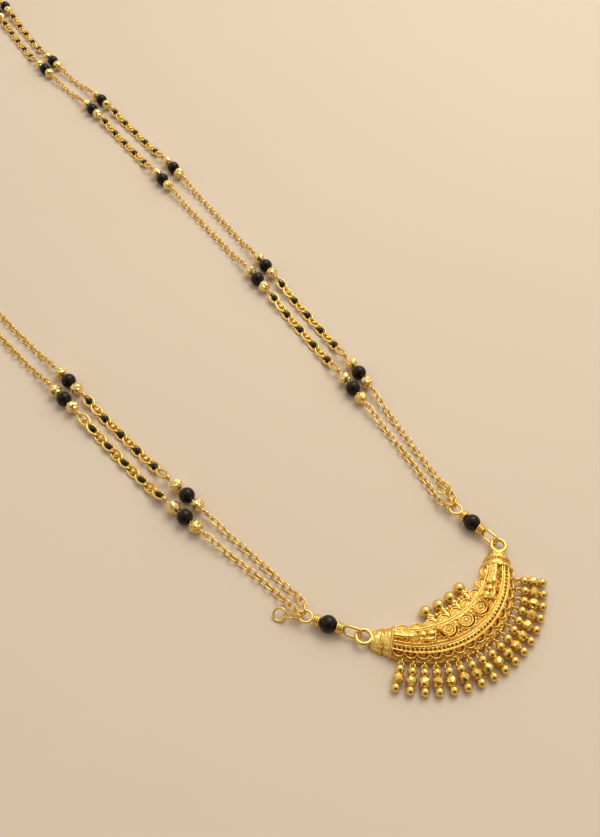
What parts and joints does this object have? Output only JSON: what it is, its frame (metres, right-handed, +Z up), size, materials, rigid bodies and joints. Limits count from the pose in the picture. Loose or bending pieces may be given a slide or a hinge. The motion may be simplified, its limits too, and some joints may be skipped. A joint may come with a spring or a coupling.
{
  "type": "necklace",
  "caption": "Long two-strand gold necklace with small black and gold beads in its links and a cast crescent pendant fringed with ball drops, fastened by a plain hook.",
  "frame": {"origin": "middle of the crescent pendant's flat back, on the surface the necklace lies on", "axes": "+Y from the pendant along the necklace to its clasp, +Z up from the surface through the pendant's face, +X to the right as the pendant's face is seen"},
  "size_m": [0.0776, 0.3567, 0.0043],
  "materials": {
    "cast_gold": "polished relief with darker recesses",
    "drop_gold": "polished",
    "cut_gold": "cut all over",
    "gold_wire": "polished",
    "black_glass": "glossy black glass"
  },
  "bodies": {
    "root": {"pendant": "cast_gold", "drop_01": "drop_gold", "drop_02": "drop_gold", "drop_03": "drop_gold", "drop_04": "drop_gold", "drop_05": "drop_gold", "drop_06": "drop_gold", "drop_07": "drop_gold", "drop_08": "drop_gold", "drop_09": "drop_gold", "drop_10": "drop_gold", "drop_11": "drop_gold", "drop_12": "drop_gold", "drop_13": "drop_gold", "drop_14": "drop_gold", "drop_15": "drop_gold", "drop_16": "drop_gold", "drop_17": "drop_gold", "wrap_wire_left": "gold_wire", "wrap_wire_right": "gold_wire", "wrapped_bead_left": "black_glass", "wrapped_bead_right": "black_glass", "fine_chain_left_outer": "gold_wire", "fine_chain_left_inner": "gold_wire", "fine_chain_right_inner": "gold_wire", "fine_chain_right_outer": "gold_wire", "beaded_chain_left_outer": "gold_wire", "beaded_chain_left_inner": "gold_wire", "beaded_chain_right_inner": "gold_wire", "beaded_chain_right_outer": "gold_wire", "bead_pins_left_outer": "cut_gold", "bead_pins_left_inner": "cut_gold", "bead_pins_right_inner": "cut_gold", "bead_pins_right_outer": "cut_gold", "black_beads_left_outer": "black_glass", "black_beads_left_inner": "black_glass", "black_beads_right_inner": "black_glass", "black_beads_right_outer": "black_glass", "tail_chain_left": "gold_wire", "tail_chain_right": "gold_wire", "tail_ring_left": "gold_wire", "tail_ring_right": "gold_wire", "end_ring_left": "gold_wire", "end_ring_right": "gold_wire", "s_hook": "gold_wire"}
  },
  "joints": []
}
